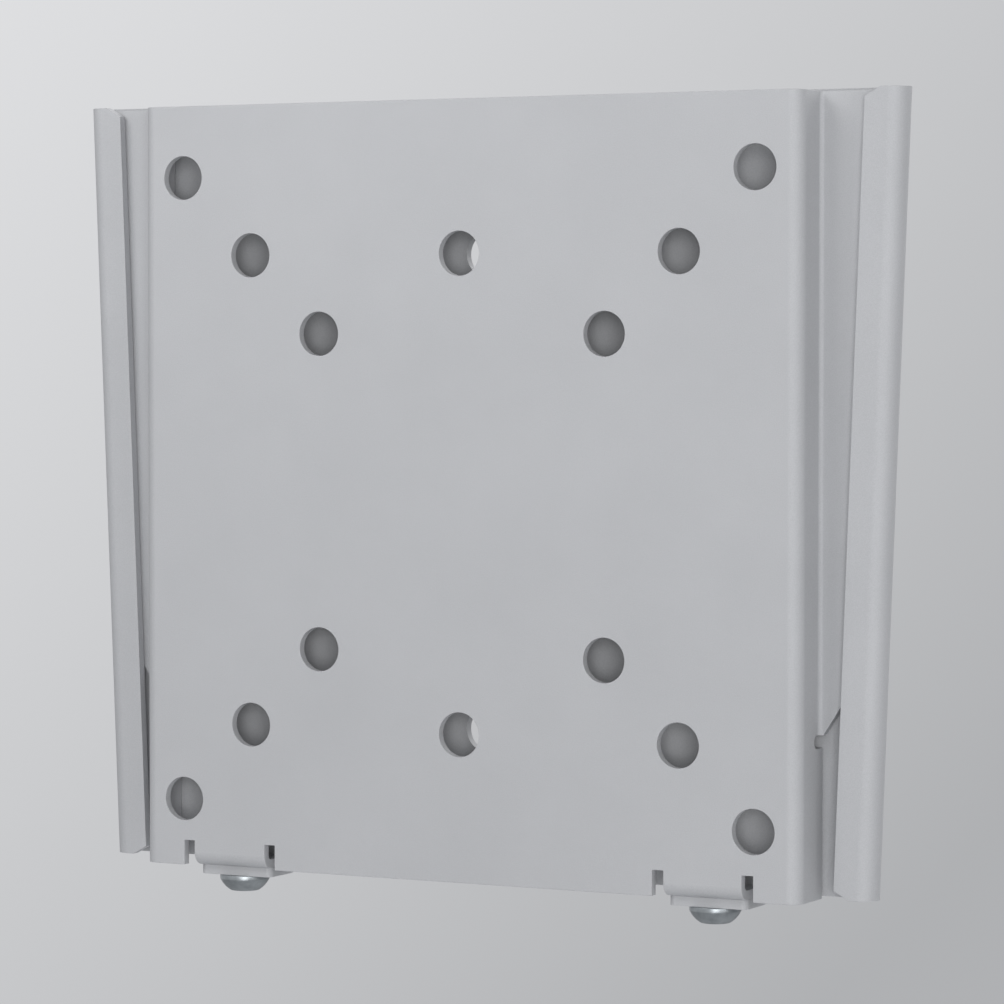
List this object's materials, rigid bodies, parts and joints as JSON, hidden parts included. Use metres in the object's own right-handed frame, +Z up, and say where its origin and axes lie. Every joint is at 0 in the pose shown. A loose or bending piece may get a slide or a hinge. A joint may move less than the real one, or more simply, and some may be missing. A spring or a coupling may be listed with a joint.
{
  "type": "fixed monitor wall mount",
  "caption": "Low-profile sheet steel wall mount: a wall plate with tapered side rails, and a monitor plate that slides down behind them and is locked by screws from below.",
  "frame": {"origin": "centre of the monitor hole pattern, on the wall: the back face of the wall plate", "axes": "+X to the right as seen from the room, +Y into the wall, +Z up"},
  "size_m": [0.1434, 0.011, 0.1267],
  "materials": {
    "painted_steel": "fine satin powder coat, silver grey",
    "plated_screw": "bright zinc plating"
  },
  "bodies": {
    "wall": {"wall_plate": "painted_steel"},
    "plate": {"monitor_plate": "painted_steel"},
    "left_screw": {"lock_screw_left": "plated_screw"},
    "right_screw": {"lock_screw_right": "plated_screw"}
  },
  "joints": [
    {"name": "plate_lift", "type": "slide", "parent": "wall", "child": "plate", "axis": [0, 0, 1], "range_m": [0, 0.125]},
    {"name": "left_screw_out", "type": "slide", "parent": "wall", "child": "left_screw", "axis": [0, 0, -1], "range_m": [0, 0.008]},
    {"name": "right_screw_out", "type": "slide", "parent": "wall", "child": "right_screw", "axis": [0, 0, -1], "range_m": [0, 0.008]}
  ]
}
